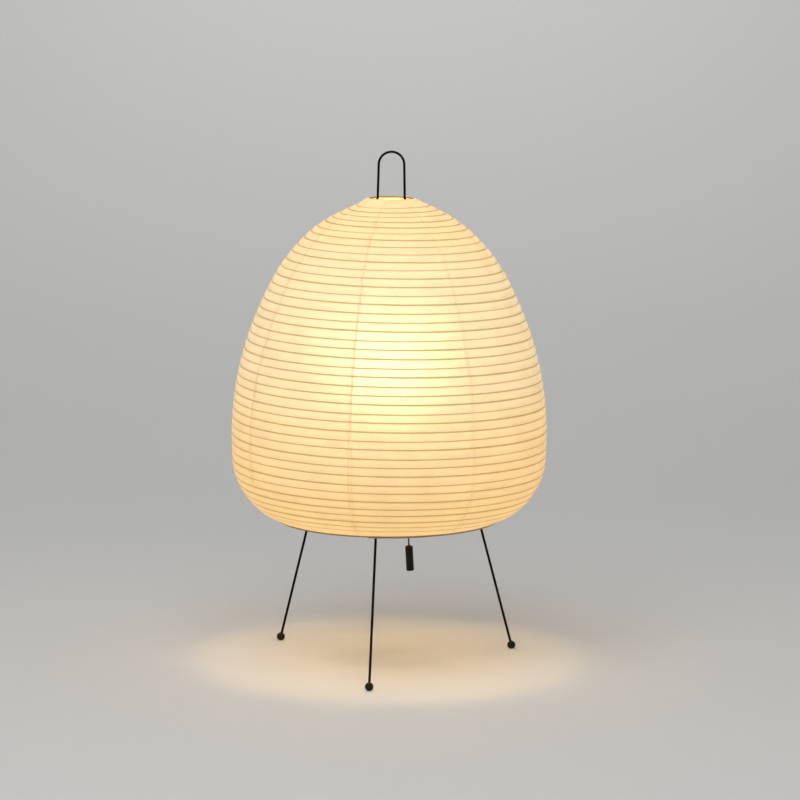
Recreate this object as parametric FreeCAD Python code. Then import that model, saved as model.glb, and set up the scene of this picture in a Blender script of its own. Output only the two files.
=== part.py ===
import FreeCAD, Part
import math
import os

# Paper bedside lamp: a paper shade on one spiral rib, stretched over a wire frame with three splayed legs.
# Millimetres, +Z up. The origin is on the floor under the middle of the shade, and the front faces -Y.
# Azimuths are in degrees, from the front towards +X.

# Shade: the outer face of the paper, from the widest girth up to one mouth and down to the other.
# Each way it has two arcs, and then a last one of a given length and turn: the crown above, the curl below.
SHADE_RADIUS = 130.0
BELLY_HEIGHT = 191.0
SHADE_TOP = 386.2
TOP_MOUTH_RADIUS = 19.0
TOP_SLOPE = 19.0
TOP_FULLNESS = 2.0
CROWN_LENGTH = 104.4
CROWN_TURN = 43.0
SHADE_BOTTOM = 121.4
BOTTOM_MOUTH_RADIUS = 93.0
BOTTOM_SLOPE = 22.7
BOTTOM_FULLNESS = 1.07
CURL_LENGTH = 44.4
CURL_TURN = 41.4
PAPER = 0.4
GORE_COUNT = 8
FIRST_SEAM = -14.0

# Spiral rib of split bamboo, three-cornered, inside the paper.
RIB_TURNS = 42
RIB_WIDTH = 1.4
RIB_TOP_MARGIN = 9.9
RIB_BOTTOM_MARGIN = 9.3
RIB_CLEARANCE = 0.3
RIB_START = 180.0

# Hoops at the two mouths.
TOP_HOOP_WIDTH = 2.4
TOP_HOOP_HEIGHT = 1.2
BOTTOM_HOOP_WIDTH = 2.4
BOTTOM_HOOP_HEIGHT = 3.0
BOTTOM_HOOP_DROP = 1.5

# Legs and feet.
LEG_COUNT = 3
LEG_AZIMUTH = -7.1
LEG_WIRE = 2.1
LEG_BEND = 6.0
LEG_HOOP_GAP = 9.1
FOOT_CIRCLE_RADIUS = 114.4
FOOT_RADIUS = 3.5
FOOT_FLAT_DEPTH = 0.3
PEG_WIRE = 1.8
PEG_REACH = 1.2

# Hub that carries the legs, the stretcher and the lamp holder.
HUB_RISE = 11.6
HUB_THICKNESS = 8.0
HUB_RIM = 3.5
LEG_SOCKET_DEPTH = 14.0
LEG_SCREW_RADIUS = 1.5
LEG_SCREW_INSET = 7.0

# Stretcher wire, which ends in the carrying handle.
STRETCHER_WIRE = 2.0
STRETCHER_SOCKET_DEPTH = 5.0
STRETCHER_FOOT = 10.0
STRETCHER_GAP = 9.0
STRETCHER_BEND = 12.0
SHOULDER_BEND = 3.0
SHOULDER_BEARING = 0.5
SHOULDER_DROP = 14.0
HANDLE_RISE = 40.15
HANDLE_HALF_WIDTH = 10.2
HANDLE_SPREAD = 0.9

# Switch housing, lamp holder and their fastenings.
HOUSING_RADIUS = 22.0
HOUSING_HEIGHT = 20.0
HOUSING_CHAMFER = 1.5
NIPPLE_RADIUS = 5.0
NIPPLE_WALL = 1.4
NIPPLE_REACH = 8.0
NIPPLE_TAIL = 7.0
NUT_ACROSS_FLATS = 14.0
NUT_HEIGHT = 4.0
INLET_FLANGE = 1.6
INLET_WALL = 0.8
INLET_SPIGOT = 5.0
HOLDER_RADIUS = 19.0
HOLDER_HEIGHT = 37.0
HOLDER_WALL = 1.6
HOLDER_FLOOR = 2.0
INSULATOR_HEIGHT = 5.0
WIRE_HOLE_RADIUS = 2.5
SCREW_SHELL_HEIGHT = 24.0
SCREW_SHELL_WALL = 0.5
HOLDER_SCREW_RADIUS = 1.5
HOLDER_SCREW_HEAD = 2.5
HOLDER_SCREW_HEAD_HEIGHT = 1.6
HOLDER_SCREW_CIRCLE = 9.5
HOLDER_SCREW_GRIP = 8.0
CONTACT_STRIP = 0.5
CONTACT_WIDTH = 5.0
CONTACT_FOOT = 4.0
CONTACT_BEND = 1.5
CONTACT_RISE = 4.5

# Bulb.
BULB_RADIUS = 30.0
BULB_LENGTH = 110.0
GLASS = 0.9
CAP_RADIUS = 13.1
CAP_HEIGHT = 22.0
CAP_WALL = 0.4
CAP_LIP = 3.0
NECK_DEPTH = 5.0
TIP_RADIUS = 4.4
TIP_HEIGHT = 1.0
TIP_INSULATOR_HEIGHT = 4.0

# Pull switch.
PULL_RADIUS = 18.0
PULL_AZIMUTH = 58.0
PULL_LEAN = 3.5
PULL_TRAVEL = 12.0
TRAVELLER_RADIUS = 2.6
TRAVELLER_HEIGHT = 4.0
CORD = 1.2
BUSH_WALL = 1.6
BUSH_FLANGE = 1.5
BUSH_FLANGE_OVERHANG = 1.2
PULL_DROP = 31.8
PULL_HANDLE_RADIUS = 3.2
PULL_HANDLE_LENGTH = 21.4
PULL_HANDLE_SHOULDER = 1.5
PULL_HANDLE_TOP_RADIUS = 1.4
PULL_HANDLE_EDGE = 0.4
KNOT_RADIUS = 1.6
KNOT_HEIGHT = 3.0
KNOT_ROUNDING = 0.7
KNOT_ROOM = 0.4
KNOT_POCKET_DEPTH = 5.0

# Clearances: pieces that rest on each other, wires in sockets, threads, and pieces that move past each other.
SEAT = 0.15
FIT = 0.1
RUNNING = 0.3

V = FreeCAD.Vector
ORIGIN = V(0, 0, 0)
UP = V(0, 0, 1)

# Heights that follow from the sizes above.
hub_bottom = SHADE_BOTTOM + HUB_RISE
hub_top = hub_bottom + HUB_THICKNESS
leg_level = hub_bottom + HUB_THICKNESS / 2
housing_top = hub_top + HOUSING_HEIGHT
insulator_bottom = housing_top + HOLDER_FLOOR
insulator_top = insulator_bottom + INSULATOR_HEIGHT
tip_bottom = insulator_top + CONTACT_RISE
cap_bottom = tip_bottom + TIP_HEIGHT + TIP_INSULATOR_HEIGHT
cap_top = cap_bottom + CAP_HEIGHT
globe_height = tip_bottom + BULB_LENGTH - BULB_RADIUS

# Radii that follow from the sizes above.
stretcher_foot_x = HOUSING_RADIUS + RUNNING + STRETCHER_WIRE
hub_radius = stretcher_foot_x + STRETCHER_WIRE / 2 + HUB_RIM
insulator_radius = HOLDER_RADIUS - HOLDER_WALL - SEAT
screw_shell_inner = CAP_RADIUS + RUNNING
leg_azimuths = [LEG_AZIMUTH + 360.0 / LEG_COUNT * i for i in range(LEG_COUNT)]
pull_x = PULL_RADIUS * math.sin(math.radians(PULL_AZIMUTH))
pull_y = -PULL_RADIUS * math.cos(math.radians(PULL_AZIMUTH))


def unit(vector):
    """The same direction at length 1."""
    return vector * (1.0 / vector.Length)


def turned(shape, azimuth):
    """The shape, drawn at the front, carried round the axis to an azimuth."""
    copy = shape.copy()
    copy.rotate(ORIGIN, UP, azimuth)
    return copy


def cylinder(radius, bottom, top, x=0.0, y=0.0):
    """An upright cylinder between two heights."""
    return Part.makeCylinder(radius, top - bottom, V(x, y, bottom))


def tube(outer, inner, bottom, top, x=0.0, y=0.0):
    """An upright sleeve between two heights."""
    return cylinder(outer, bottom, top, x, y).cut(cylinder(inner, bottom, top, x, y))


def revolved(outline, angle=360.0):
    """The solid that an outline of (radius, height) points sweeps round the axis, from the front."""
    points = [V(0, -r, z) for r, z in outline]
    face = Part.Face(Part.makePolygon(points + points[:1]))
    return face.revolve(ORIGIN, UP, angle)


def rounded_path(points, radii):
    """Straight runs through the points, with a tangent arc of the given radius at each inner point."""
    edges = []
    start = points[0]
    for before, corner, after, radius in zip(points, points[1:], points[2:], radii):
        back = unit(before - corner)
        ahead = unit(after - corner)
        half_turn = (math.pi - back.getAngle(ahead)) / 2
        reach = radius * math.tan(half_turn)
        rise = radius / math.cos(half_turn) - radius
        arc_start = corner + back * reach
        arc_end = corner + ahead * reach
        arc_middle = corner + unit(back + ahead) * rise
        edges.append(Part.LineSegment(start, arc_start).toShape())
        edges.append(Part.Arc(arc_start, arc_middle, arc_end).toShape())
        start = arc_end
    edges.append(Part.LineSegment(start, points[-1]).toShape())
    return Part.Wire(edges)


def bent_wire(points, radii, diameter):
    """A round wire bent through the points."""
    path = rounded_path(points, radii)
    section = Part.Wire([Part.makeCircle(diameter / 2, points[0], points[1] - points[0])])
    return path.makePipeShell([section], True, False)


class Arc:
    """A plane arc of a meridian, from a start and a direction there to an end, as (radius, height).

    Its bulge is 1 where it is full and -1 where it is hollow, seen from outside the shade.
    """

    def __init__(self, start, direction, end):
        chord = (end[0] - start[0], end[1] - start[1])
        left = (-direction[1], direction[0])
        across = chord[0] * left[0] + chord[1] * left[1]
        along = chord[0] * direction[0] + chord[1] * direction[1]
        self.signed_radius = (chord[0] ** 2 + chord[1] ** 2) / (2 * across)
        self.centre = (start[0] + left[0] * self.signed_radius, start[1] + left[1] * self.signed_radius)
        self.bulge = math.copysign(1.0, self.signed_radius * direction[1])
        self.first = math.atan2(start[1] - self.centre[1], start[0] - self.centre[0])
        self.sweep = 2 * math.atan2(across, along)
        self.length = abs(self.signed_radius * self.sweep)

    def at(self, share, inset=0.0):
        """The point at a share of the arc, moved by an inset towards the axis of the shade."""
        angle = self.first + self.sweep * share
        radius = abs(self.signed_radius) - inset * self.bulge
        return self.centre[0] + radius * math.cos(angle), self.centre[1] + radius * math.sin(angle)

    def edge(self, inset):
        """The arc as an edge at the front of the shade."""
        points = [V(0, -r, z) for r, z in (self.at(share, inset) for share in (0.0, 0.5, 1.0))]
        return Part.Arc(*points).toShape()


def biarc(start, start_direction, end, end_direction, fullness):
    """Two tangent arcs between two points; fullness is the first tangent's length over the second's."""
    chord = (end[0] - start[0], end[1] - start[1])
    both = tuple(fullness * s + e for s, e in zip(start_direction, end_direction))
    square = (fullness + 1) ** 2 - both[0] ** 2 - both[1] ** 2
    dot = chord[0] * both[0] + chord[1] * both[1]
    size = chord[0] ** 2 + chord[1] ** 2
    second = (math.sqrt(dot ** 2 + square * size) - dot) / square
    first = fullness * second
    corner = [s + first * d for s, d in zip(start, start_direction)]
    far_corner = [e - second * d for e, d in zip(end, end_direction)]
    joint = [(a * second + b * first) / (first + second) for a, b in zip(corner, far_corner)]
    joint_direction = unit(V(far_corner[0] - corner[0], far_corner[1] - corner[1], 0))
    return [
        Arc(start, start_direction, joint),
        Arc(joint, (joint_direction.x, joint_direction.y), end),
    ]


def mouth_arc(mouth, slope, length, turn, sign):
    """The last arc to a mouth, up or down by the sign: it turns over its length and ends at a slope."""
    last = math.radians(slope)
    first = last + math.radians(turn)
    radius = length / math.radians(turn)
    start = (
        mouth[0] + radius * (math.sin(first) - math.sin(last)),
        mouth[1] - sign * radius * (math.cos(last) - math.cos(first)),
    )
    direction = (-math.cos(first), sign * math.sin(first))
    return start, direction, Arc(start, direction, mouth)


def shade_meridian():
    """The arcs of the paper's outer face, first those above the belly and then those below it."""
    belly = (SHADE_RADIUS, BELLY_HEIGHT)
    top = (TOP_MOUTH_RADIUS, SHADE_TOP)
    bottom = (BOTTOM_MOUTH_RADIUS, SHADE_BOTTOM)
    crown_start, crown_way, crown = mouth_arc(top, TOP_SLOPE, CROWN_LENGTH, CROWN_TURN, 1)
    curl_start, curl_way, curl = mouth_arc(bottom, BOTTOM_SLOPE, CURL_LENGTH, CURL_TURN, -1)
    above = biarc(belly, (0, 1), crown_start, crown_way, TOP_FULLNESS) + [crown]
    below = biarc(belly, (0, -1), curl_start, curl_way, BOTTOM_FULLNESS) + [curl]
    return above, below


above_belly, below_belly = shade_meridian()
# The meridian from the top mouth to the bottom one, as (arc, whether the arc runs upwards).
meridian = [(arc, True) for arc in reversed(above_belly)] + [(arc, False) for arc in below_belly]
meridian_length = sum(arc.length for arc, upwards in meridian)


def shade_point(distance, inset):
    """The point at a distance along the meridian from the top mouth, inset from the paper's outer face."""
    for arc, upwards in meridian:
        if distance <= arc.length or arc is meridian[-1][0]:
            share = distance / arc.length
            return arc.at(1 - share if upwards else share, inset)
        distance -= arc.length


def paper_gore():
    """One gore: the sheet between two meridians, with its two long edges on the seams."""
    outer = [arc.edge(0.0) for arc, upwards in meridian]
    inner = [arc.edge(PAPER) for arc, upwards in meridian]
    ends = []
    for distance in (0.0, meridian_length):
        corners = [V(0, -r, z) for r, z in (shade_point(distance, inset) for inset in (0.0, PAPER))]
        ends.append(Part.LineSegment(*corners).toShape())
    outline = Part.Wire(Part.__sortEdges__(outer + inner + ends))
    return Part.Face(outline).revolve(ORIGIN, UP, 360.0 / GORE_COUNT)


RIB_INSET = PAPER + RIB_CLEARANCE + RIB_WIDTH / 2
RIB_ARCS_PER_TURN = 4
rib_pitch = (meridian_length - RIB_TOP_MARGIN - RIB_BOTTOM_MARGIN) / RIB_TURNS


def rib_point(turn):
    """The rib's centre after a number of turns: it goes down one pitch a turn, round from left to right."""
    r, z = shade_point(RIB_TOP_MARGIN + rib_pitch * turn, RIB_INSET)
    azimuth = math.radians(RIB_START) + 2 * math.pi * turn
    return V(r * math.sin(azimuth), -r * math.cos(azimuth), z)


def rib_direction(turn):
    """The way that the rib runs there."""
    step = 1e-4
    return unit(rib_point(turn + step) - rib_point(turn - step))


def space_biarc(start, start_direction, end, end_direction):
    """Two arcs that join two points of the rib and keep its direction at both."""
    chord = end - start
    both = start_direction + end_direction
    square = 4 - both.dot(both)
    dot = chord.dot(both)
    reach = (math.sqrt(dot ** 2 + square * chord.dot(chord)) - dot) / square
    corner = start + start_direction * reach
    far_corner = end - end_direction * reach
    joint = (corner + far_corner) * 0.5
    arcs = []
    for near, bend, far in ((start, corner, joint), (joint, far_corner, end)):
        back = unit(near - bend)
        middle = unit(near + far - bend * 2)
        half_turn = (math.pi - back.getAngle(unit(far - bend))) / 2
        rise = reach / math.tan(half_turn) * (1 / math.cos(half_turn) - 1)
        arcs.append(Part.Arc(near, bend + middle * rise, far).toShape())
    return arcs


def spiral_rib():
    """One unbroken strip of bamboo, wound in even turns from the top mouth to the bottom one."""
    spans = RIB_TURNS * RIB_ARCS_PER_TURN // 2
    turns = [RIB_TURNS * i / spans for i in range(spans + 1)]
    edges = []
    for first, last in zip(turns, turns[1:]):
        edges += space_biarc(rib_point(first), rib_direction(first), rib_point(last), rib_direction(last))
    start = rib_point(0.0)
    outwards = unit(V(start.x, start.y, 0))
    corners = []
    for corner_angle in (0.0, 120.0, 240.0):
        arm = outwards * math.cos(math.radians(corner_angle)) + UP * math.sin(math.radians(corner_angle))
        corners.append(start + arm * (RIB_WIDTH / 2))
    section = Part.makePolygon(corners + corners[:1])
    return Part.Wire(edges).makePipeShell([section], True, False)


def least_rib_gap(steps_per_turn=72):
    """The least gap between neighbouring turns of the rib, measured on points."""
    points = [rib_point(i / steps_per_turn) for i in range(RIB_TURNS * steps_per_turn + 1)]
    gaps = []
    for i, point in enumerate(points):
        below = points[i + steps_per_turn // 2:i + 3 * steps_per_turn // 2]
        gaps += [point.distanceToPoint(other) for other in below]
    return min(gaps) - RIB_WIDTH


top_hoop_outer = shade_point(0.0, PAPER)[0] - SEAT
top_hoop_inner = top_hoop_outer - TOP_HOOP_WIDTH
top_hoop_bottom = SHADE_TOP - TOP_HOOP_HEIGHT
bottom_hoop_outer = shade_point(meridian_length, PAPER)[0] - SEAT
bottom_hoop_inner = bottom_hoop_outer - BOTTOM_HOOP_WIDTH
bottom_hoop_bottom = SHADE_BOTTOM - BOTTOM_HOOP_DROP
bottom_hoop_top = bottom_hoop_bottom + BOTTOM_HOOP_HEIGHT


def top_hoop():
    """A flat ring inside the edge of the top mouth; it rests on the shoulders of the stretcher."""
    return tube(top_hoop_outer, top_hoop_inner, top_hoop_bottom, SHADE_TOP)


def bottom_hoop():
    """A flat strip bent to a ring inside the edge of the bottom mouth."""
    return tube(bottom_hoop_outer, bottom_hoop_inner, bottom_hoop_bottom, bottom_hoop_top)


foot_height = FOOT_RADIUS - FOOT_FLAT_DEPTH
leg_radius_at_hoop = bottom_hoop_inner - LEG_HOOP_GAP - LEG_WIRE / 2
leg_splay = (FOOT_CIRCLE_RADIUS - leg_radius_at_hoop) / (SHADE_BOTTOM - foot_height)


def leg_line(height):
    """The point of the leg's straight run at a height, drawn at the front."""
    return V(0, -(FOOT_CIRCLE_RADIUS - leg_splay * (height - foot_height)), height)


def leg():
    """A wire that runs out from the hub, bends down to the foot and carries a peg over the bottom hoop."""
    socket_end = V(0, -(hub_radius - LEG_SOCKET_DEPTH + SEAT), leg_level)
    wire = bent_wire([socket_end, leg_line(leg_level), leg_line(foot_height)], [LEG_BEND], LEG_WIRE)
    root = leg_line(bottom_hoop_top + SEAT + PEG_WIRE / 2)
    reach = bottom_hoop_inner + PEG_REACH + root.y
    peg = Part.makeCylinder(PEG_WIRE / 2, reach, root, V(0, -1, 0))
    return wire.fuse(peg)


def ball_feet():
    """Balls with a small flat to stand on, each bored to take the end of its leg."""
    centre = leg_line(foot_height)
    up_the_leg = unit(leg_line(leg_level) - centre)
    ball = Part.makeSphere(FOOT_RADIUS, centre)
    room = 2 * FOOT_RADIUS
    above_floor = Part.makeBox(2 * room, 2 * room, 2 * room, V(centre.x - room, centre.y - room, 0))
    bore = Part.makeCylinder(LEG_WIRE / 2 + FIT, room, centre - up_the_leg * SEAT, up_the_leg)
    foot = ball.common(above_floor).cut(bore)
    return Part.makeCompound([turned(foot, azimuth) for azimuth in leg_azimuths])


bush_radius = CORD / 2 + RUNNING + BUSH_WALL


def hub():
    """A turned disc with sockets for the legs and the stretcher, bored for the nipple and the pull cord."""
    disc = cylinder(hub_radius, hub_bottom, hub_top)
    disc = disc.cut(cylinder(NIPPLE_RADIUS + FIT, hub_bottom, hub_top))
    disc = disc.cut(cylinder(bush_radius + FIT, hub_bottom, hub_top, pull_x, pull_y))
    for x in (-stretcher_foot_x, stretcher_foot_x):
        disc = disc.cut(cylinder(STRETCHER_WIRE / 2 + FIT, hub_top - STRETCHER_SOCKET_DEPTH, hub_top, x))
    socket_end = V(0, -(hub_radius - LEG_SOCKET_DEPTH), leg_level)
    socket = Part.makeCylinder(LEG_WIRE / 2 + FIT, LEG_SOCKET_DEPTH, socket_end, V(0, -1, 0))
    screw_y = LEG_SCREW_INSET - hub_radius
    screw_hole = cylinder(LEG_SCREW_RADIUS + FIT, hub_bottom, leg_level, 0.0, screw_y)
    for azimuth in leg_azimuths:
        disc = disc.cut(turned(socket, azimuth)).cut(turned(screw_hole, azimuth))
    return disc


def leg_screws():
    """Grub screws that hold the legs, level with the underside of the hub."""
    screw_top = leg_level - LEG_WIRE / 2 - SEAT
    screw = cylinder(LEG_SCREW_RADIUS, hub_bottom, screw_top, 0.0, -(hub_radius - LEG_SCREW_INSET))
    return Part.makeCompound([turned(screw, azimuth) for azimuth in leg_azimuths])


def stretcher_handle():
    """One wire: up from the hub round the bulb, in under the top hoop, and out of the mouth as the handle."""
    foot = hub_top - STRETCHER_SOCKET_DEPTH + SEAT
    bow_x = BULB_RADIUS + STRETCHER_GAP + STRETCHER_WIRE / 2
    shoulder_x = top_hoop_inner + SHOULDER_BEARING + SHOULDER_BEND
    shoulder = top_hoop_bottom - SEAT - STRETCHER_WIRE / 2
    handle_top = shoulder + HANDLE_RISE
    side = [
        V(stretcher_foot_x, 0, foot),
        V(stretcher_foot_x, 0, hub_top + STRETCHER_FOOT),
        V(bow_x, 0, globe_height),
        V(shoulder_x, 0, shoulder - SHOULDER_DROP),
        V(shoulder_x, 0, shoulder),
        V(HANDLE_HALF_WIDTH + HANDLE_SPREAD, 0, shoulder),
        V(HANDLE_HALF_WIDTH, 0, handle_top),
    ]
    side_bends = [STRETCHER_BEND, STRETCHER_BEND, STRETCHER_BEND, SHOULDER_BEND, SHOULDER_BEND]
    lean = math.atan2(HANDLE_SPREAD, HANDLE_RISE)
    top_bend = 0.999 * HANDLE_HALF_WIDTH / math.tan((math.pi / 2 - lean) / 2)
    other_side = [V(-p.x, p.y, p.z) for p in reversed(side)]
    bends = side_bends + [top_bend, top_bend] + side_bends[::-1]
    return bent_wire(side + other_side, bends, STRETCHER_WIRE)


nipple_bottom = hub_bottom - NIPPLE_TAIL


def nipple():
    """A threaded tube that draws the switch housing down on the hub and lets the wires through."""
    return tube(NIPPLE_RADIUS, NIPPLE_RADIUS - NIPPLE_WALL, nipple_bottom, hub_top + NIPPLE_REACH)


def lock_nut():
    """A hexagon nut under the hub."""
    corner = V(NUT_ACROSS_FLATS / math.sqrt(3), 0, hub_bottom - NUT_HEIGHT)
    corners = [FreeCAD.Rotation(UP, 60.0 * i).multVec(corner) for i in range(7)]
    block = Part.Face(Part.makePolygon(corners)).extrude(UP * NUT_HEIGHT)
    return block.cut(cylinder(NIPPLE_RADIUS + FIT, hub_bottom - NUT_HEIGHT, hub_bottom))


def inlet_bush():
    """A smooth collar in the lower end of the nipple, where the supply lead goes in."""
    spigot_radius = NIPPLE_RADIUS - NIPPLE_WALL - FIT
    outline = [
        (spigot_radius - INLET_WALL, nipple_bottom - INLET_FLANGE),
        (NIPPLE_RADIUS, nipple_bottom - INLET_FLANGE),
        (NIPPLE_RADIUS, nipple_bottom),
        (spigot_radius, nipple_bottom),
        (spigot_radius, nipple_bottom + INLET_SPIGOT),
        (spigot_radius - INLET_WALL, nipple_bottom + INLET_SPIGOT),
    ]
    return revolved(outline)


traveller_top = hub_top + SEAT + PULL_TRAVEL + RUNNING + TRAVELLER_HEIGHT


def switch_housing():
    """The round body of the pull switch, with the bore that the traveller slides in."""
    outline = [
        (0, hub_top),
        (HOUSING_RADIUS, hub_top),
        (HOUSING_RADIUS, housing_top - HOUSING_CHAMFER),
        (HOUSING_RADIUS - HOUSING_CHAMFER, housing_top),
        (0, housing_top),
    ]
    body = revolved(outline)
    body = body.cut(cylinder(NIPPLE_RADIUS + FIT, hub_top, hub_top + NIPPLE_REACH + SEAT))
    body = body.cut(cylinder(WIRE_HOLE_RADIUS, hub_top + NIPPLE_REACH, housing_top))
    screw_hole_bottom = housing_top - HOLDER_SCREW_GRIP - SEAT
    for y in (-HOLDER_SCREW_CIRCLE, HOLDER_SCREW_CIRCLE):
        body = body.cut(cylinder(HOLDER_SCREW_RADIUS + FIT, screw_hole_bottom, housing_top, 0.0, y))
    return body.cut(cylinder(TRAVELLER_RADIUS + RUNNING, hub_top, traveller_top + SEAT, pull_x, pull_y))


def pull_bush():
    """A flanged sleeve in the hub, where the pull cord comes out."""
    inner = CORD / 2 + RUNNING
    sleeve = tube(bush_radius, inner, hub_bottom, hub_top, pull_x, pull_y)
    flange_radius = bush_radius + BUSH_FLANGE_OVERHANG
    flange = tube(flange_radius, inner, hub_bottom - BUSH_FLANGE, hub_bottom, pull_x, pull_y)
    return sleeve.fuse(flange).removeSplitter()


swing_height = hub_bottom - BUSH_FLANGE - CORD / 2 - RUNNING
swing_centre = V(pull_x, pull_y, swing_height)


def switch_traveller():
    """The slider in the switch that the cord pulls down."""
    return cylinder(TRAVELLER_RADIUS, traveller_top - TRAVELLER_HEIGHT, traveller_top, pull_x, pull_y)


def pull_cord_upper():
    """The cord from the traveller to the mouth of the bush."""
    bottom = swing_height + CORD / 2 + RUNNING
    return cylinder(CORD / 2, bottom, traveller_top - TRAVELLER_HEIGHT, pull_x, pull_y)


def hung(shape):
    """A piece of the pull, drawn on the axis with the swing centre at height 0, hung where it belongs."""
    copy = shape.copy()
    copy.rotate(ORIGIN, V(0, 1, 0), -PULL_LEAN)
    copy.translate(swing_centre)
    return copy


pull_handle_bottom = -PULL_DROP - PULL_HANDLE_LENGTH
knot_top = pull_handle_bottom + KNOT_POCKET_DEPTH - SEAT


def pull_cord():
    """The free cord, with a round upper end that turns at the mouth of the bush, down to the knot."""
    end = knot_top + SEAT
    rod = cylinder(CORD / 2, end, 0.0)
    return hung(rod.fuse(Part.makeSphere(CORD / 2)).removeSplitter())


def pull_handle():
    """A turned bar with a sloping shoulder, bored for the cord and hollowed below for the knot."""
    bore = CORD / 2 + RUNNING
    pocket = KNOT_RADIUS + KNOT_ROOM
    outline = [
        (bore, -PULL_DROP),
        (PULL_HANDLE_TOP_RADIUS, -PULL_DROP),
        (PULL_HANDLE_RADIUS, -PULL_DROP - PULL_HANDLE_SHOULDER),
        (PULL_HANDLE_RADIUS, pull_handle_bottom + PULL_HANDLE_EDGE),
        (PULL_HANDLE_RADIUS - PULL_HANDLE_EDGE, pull_handle_bottom),
        (pocket, pull_handle_bottom),
        (pocket, pull_handle_bottom + KNOT_POCKET_DEPTH),
        (bore, pull_handle_bottom + KNOT_POCKET_DEPTH),
    ]
    return hung(revolved(outline))


def pull_knot():
    """The knot that holds the handle on the cord, as the round lump that it pulls into."""
    shoulder = KNOT_RADIUS - KNOT_ROUNDING
    outline = [
        (0, knot_top),
        (shoulder, knot_top),
        (KNOT_RADIUS, knot_top - KNOT_ROUNDING),
        (KNOT_RADIUS, knot_top - KNOT_HEIGHT + KNOT_ROUNDING),
        (shoulder, knot_top - KNOT_HEIGHT),
        (0, knot_top - KNOT_HEIGHT),
    ]
    return hung(revolved(outline))


def holder_shell():
    """The cup of the lamp holder, open at the top."""
    cup = cylinder(HOLDER_RADIUS, housing_top, housing_top + HOLDER_HEIGHT)
    cup = cup.cut(cylinder(HOLDER_RADIUS - HOLDER_WALL, insulator_bottom, housing_top + HOLDER_HEIGHT))
    return pierced_for_screws(cup, housing_top, insulator_bottom)


def pierced_for_screws(shape, bottom, top):
    """The shape with the middle hole for the wires and the two screw holes."""
    shape = shape.cut(cylinder(WIRE_HOLE_RADIUS, bottom, top))
    for y in (-HOLDER_SCREW_CIRCLE, HOLDER_SCREW_CIRCLE):
        shape = shape.cut(cylinder(HOLDER_SCREW_RADIUS + FIT, bottom, top, 0.0, y))
    return shape


def holder_insulator():
    """The ceramic disc on the floor of the cup."""
    disc = cylinder(insulator_radius, insulator_bottom, insulator_top)
    return pierced_for_screws(disc, insulator_bottom, insulator_top)


def holder_screws():
    """Two screws through the disc and the cup into the switch housing."""
    screws = []
    for y in (-HOLDER_SCREW_CIRCLE, HOLDER_SCREW_CIRCLE):
        shank = cylinder(HOLDER_SCREW_RADIUS, housing_top - HOLDER_SCREW_GRIP, insulator_top, 0.0, y)
        head = cylinder(HOLDER_SCREW_HEAD, insulator_top, insulator_top + HOLDER_SCREW_HEAD_HEIGHT, 0.0, y)
        screws.append(shank.fuse(head).removeSplitter())
    return Part.makeCompound(screws)


def screw_shell():
    """The brass sleeve that takes the bulb's cap."""
    outer = screw_shell_inner + SCREW_SHELL_WALL
    return tube(outer, screw_shell_inner, insulator_top, insulator_top + SCREW_SHELL_HEIGHT)


def centre_contact():
    """A springy strip that rises from the disc to just under the bulb's tip."""
    low = insulator_top + CONTACT_STRIP / 2
    high = tip_bottom - SEAT - CONTACT_STRIP / 2
    points = [
        V(-CONTACT_FOOT - TIP_RADIUS, 0, low),
        V(-TIP_RADIUS, 0, low),
        V(0, 0, high),
        V(TIP_RADIUS, 0, high),
    ]
    path = rounded_path(points, [CONTACT_BEND, CONTACT_BEND])
    half_width = CONTACT_WIDTH / 2
    half_strip = CONTACT_STRIP / 2
    corners = [
        points[0] + V(0, -half_width, -half_strip),
        points[0] + V(0, half_width, -half_strip),
        points[0] + V(0, half_width, half_strip),
        points[0] + V(0, -half_width, half_strip),
    ]
    return path.makePipeShell([Part.makePolygon(corners + corners[:1])], True, False)


def bulb_contact():
    """The metal tip of the bulb."""
    return cylinder(TIP_RADIUS, tip_bottom, tip_bottom + TIP_HEIGHT)


def bulb_insulator():
    """The dark cone between the tip and the cap."""
    bottom = tip_bottom + TIP_HEIGHT
    return Part.makeCone(TIP_RADIUS, CAP_RADIUS - CAP_LIP, cap_bottom - SEAT - bottom, V(0, 0, bottom))


def bulb_cap():
    """The metal cap, turned in at its lower edge."""
    outline = [
        (CAP_RADIUS - CAP_LIP, cap_bottom),
        (CAP_RADIUS, cap_bottom),
        (CAP_RADIUS, cap_top),
        (CAP_RADIUS - CAP_WALL, cap_top),
        (CAP_RADIUS - CAP_WALL, cap_bottom + CAP_WALL),
        (CAP_RADIUS - CAP_LIP, cap_bottom + CAP_WALL),
    ]
    return revolved(outline)


def bulb_form(inset, bottom):
    """A globe that runs into a straight neck along its tangent, drawn in by an inset."""
    radius = BULB_RADIUS - inset
    neck = CAP_RADIUS - CAP_WALL - FIT - inset
    below = globe_height - cap_top
    distance = math.hypot(neck, below)
    tangent_angle = math.acos(radius / distance) - math.atan2(below, neck)
    tangent = V(0, -radius * math.cos(tangent_angle), globe_height + radius * math.sin(tangent_angle))
    side_angle = (tangent_angle + math.pi / 2) / 2
    side = V(0, -radius * math.cos(side_angle), globe_height + radius * math.sin(side_angle))
    pole = V(0, 0, globe_height + radius)
    corners = [tangent, V(0, -neck, cap_top), V(0, -neck, bottom), V(0, 0, bottom), pole]
    edges = [Part.Arc(pole, side, tangent).toShape()]
    edges += [Part.LineSegment(a, b).toShape() for a, b in zip(corners, corners[1:])]
    return Part.Face(Part.Wire(edges)).revolve(ORIGIN, UP, 360)


def bulb_glass():
    """The glass, hollow and open where its neck sits in the cap."""
    bottom = cap_top - NECK_DEPTH
    return bulb_form(0.0, bottom).cut(bulb_form(GLASS, bottom - GLASS))


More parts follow.
